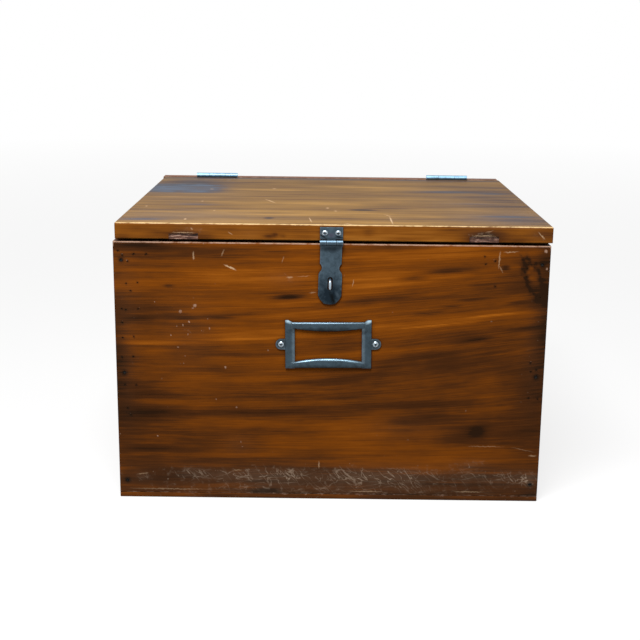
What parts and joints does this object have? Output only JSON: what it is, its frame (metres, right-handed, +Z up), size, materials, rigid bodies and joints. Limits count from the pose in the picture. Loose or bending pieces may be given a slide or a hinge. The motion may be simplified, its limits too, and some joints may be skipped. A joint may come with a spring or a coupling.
{
  "type": "lidded wooden file box",
  "caption": "Wooden file box with a hinged lid, a hasp that drops over a fixed wire staple, and a steel label holder screwed to the front.",
  "frame": {"origin": "middle of the underside of the bottom panel", "axes": "+X to the right seen from the front, +Y to the back, +Z up; the front with the hasp faces -Y"},
  "size_m": [0.4213, 0.392, 0.2847],
  "materials": {
    "wood_front": "stained and varnished pine, worn along the arrises",
    "wood_case": "stained and varnished pine",
    "wood_lid": "stained pine under a glossier varnish",
    "plywood": "stained plywood",
    "nail_steel": "darkened wire nails",
    "hinge_steel": "zinc plated",
    "hasp_steel": "blue-grey zinc plated sheet",
    "label_steel": "blue-grey zinc plated pressed sheet",
    "staple_wire": "bright zinc plated wire",
    "screw_steel": "bright zinc plated"
  },
  "bodies": {
    "case": {"front_board": "wood_front", "back_board": "wood_case", "left_side_board": "wood_case", "right_side_board": "wood_case", "bottom_panel": "plywood", "front_nails": "nail_steel", "back_nails": "nail_steel", "bottom_nails": "nail_steel", "left_hinge_case_leaf": "hinge_steel", "left_hinge_pin": "hinge_steel", "right_hinge_case_leaf": "hinge_steel", "right_hinge_pin": "hinge_steel", "hinge_case_screws": "screw_steel", "staple": "staple_wire", "label_holder": "label_steel", "label_screws": "screw_steel"},
    "lid": {"lid_board": "wood_lid", "left_hinge_lid_leaf": "hinge_steel", "right_hinge_lid_leaf": "hinge_steel", "hinge_lid_screws": "screw_steel", "hasp_leaf": "hasp_steel", "hasp_pin": "hasp_steel", "hasp_screws": "screw_steel"},
    "hasp_strap": {"hasp_strap": "hasp_steel"}
  },
  "joints": [
    {"name": "lid_hinge", "type": "hinge", "parent": "case", "child": "lid", "pos_m": [0.0017, 0.1739, 0.2819], "axis": [-1, 0, 0], "range_deg": [0, 195]},
    {"name": "hasp_swing", "type": "hinge", "parent": "lid", "child": "hasp_strap", "pos_m": [-0.0004, -0.1941, 0.2626], "axis": [-1, 0, 0], "range_deg": [0, 185]}
  ]
}
